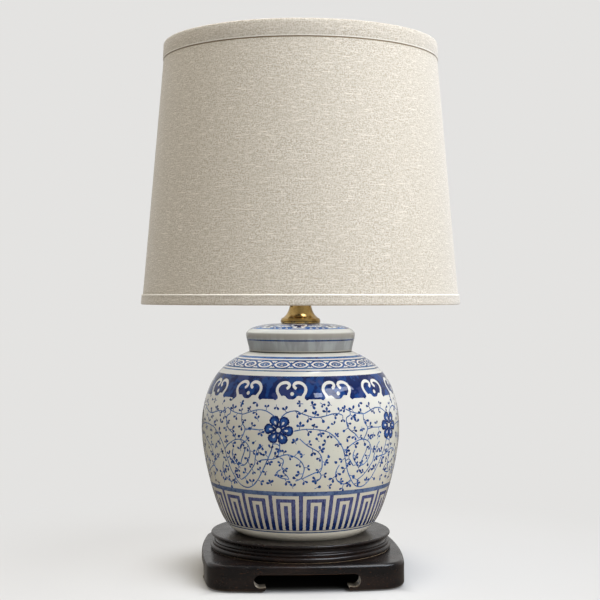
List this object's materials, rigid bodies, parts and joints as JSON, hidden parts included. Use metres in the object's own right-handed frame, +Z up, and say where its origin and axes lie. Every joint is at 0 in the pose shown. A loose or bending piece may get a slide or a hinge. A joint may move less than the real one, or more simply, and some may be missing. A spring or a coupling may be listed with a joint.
{
  "type": "table lamp",
  "caption": "Table lamp: a lidded porcelain ginger jar painted in blue on a carved dark wooden stand, with a brass neck, a wire harp and a tapered linen shade.",
  "frame": {"origin": "on the table, under the jar's axis", "axes": "+Z up, -Y the front, +X along the harp's plane to the right"},
  "size_m": [0.3815, 0.3816, 0.6438],
  "materials": {
    "felt": "thick green-black wool felt",
    "dark_wood": "ebonised hardwood, satin lacquer worn brown at the edges",
    "steel": "zinc-plated steel",
    "porcelain": "white porcelain painted in underglaze blue",
    "rubber": "black rubber",
    "brass": "lacquered brass, lightly aged",
    "card": "varnished insulating card",
    "moulded": "brown-black moulded phenolic",
    "bulb_glass": "frosted glass",
    "bulb_metal": "bright aluminium",
    "insulator": "black glass insulator",
    "linen": "natural oatmeal linen, plain weave",
    "trim_linen": "linen bias trim with pressed edges",
    "liner": "white laminated lining",
    "wire": "white-enamelled steel wire"
  },
  "bodies": {
    "stand": {"foot_pads": "felt", "stand_base": "dark_wood", "stand_plinth": "dark_wood", "plinth_screws": "steel", "jar": "porcelain", "jar_bush": "rubber", "lid_gasket": "rubber", "lid": "porcelain", "neck_washer": "felt", "brass_neck": "brass", "threaded_rod": "steel", "bottom_washer": "steel", "bottom_lock_washer": "steel", "bottom_nut": "steel", "saddle_nut": "brass", "inlet_bushing": "moulded", "harp_saddle": "brass", "socket_cap": "brass", "socket_set_screw": "steel", "socket_shell": "brass", "socket_liner": "card", "socket_body": "moulded", "terminal_screws": "brass", "centre_contact": "brass", "socket_screw_shell": "brass"},
    "switch": {"switch_stem": "steel", "switch_key": "moulded"},
    "bulb": {"bulb_cap": "bulb_metal", "bulb_contact": "insulator", "bulb_glass": "bulb_glass", "bulb_mount": "bulb_glass"},
    "harp": {"harp": "brass", "harp_seat": "brass"},
    "sleeve_left": {"harp_sleeve_left": "brass"},
    "sleeve_right": {"harp_sleeve_right": "brass"},
    "shade": {"shade_fabric": "linen", "shade_liner": "liner", "shade_top_ring": "wire", "shade_bottom_ring": "wire", "shade_top_trim": "trim_linen", "shade_bottom_trim": "trim_linen", "shade_spider": "brass"},
    "finial": {"finial": "brass"}
  },
  "joints": [
    {"name": "switch_turn", "type": "hinge", "parent": "stand", "child": "switch", "pos_m": [0, -0.02, 0.3547], "axis": [0, -1, 0], "continuous": true},
    {"name": "bulb_unscrew", "type": "slide", "parent": "stand", "child": "bulb", "axis": [0, 0, 1], "range_m": [0, 0.026]},
    {"name": "harp_lift", "type": "slide", "parent": "stand", "child": "harp", "axis": [0, 0, 1], "range_m": [0, 0.04]},
    {"name": "sleeve_left_slide", "type": "slide", "parent": "harp", "child": "sleeve_left", "axis": [0, 0, 1], "range_m": [0, 0.012]},
    {"name": "sleeve_right_slide", "type": "slide", "parent": "harp", "child": "sleeve_right", "axis": [0, 0, 1], "range_m": [0, 0.012]},
    {"name": "shade_turn", "type": "hinge", "parent": "harp", "child": "shade", "pos_m": [0, 0, 0.607], "axis": [0, 0, 1], "continuous": true},
    {"name": "finial_unscrew", "type": "slide", "parent": "harp", "child": "finial", "axis": [0, 0, 1], "range_m": [0, 0.014]}
  ]
}
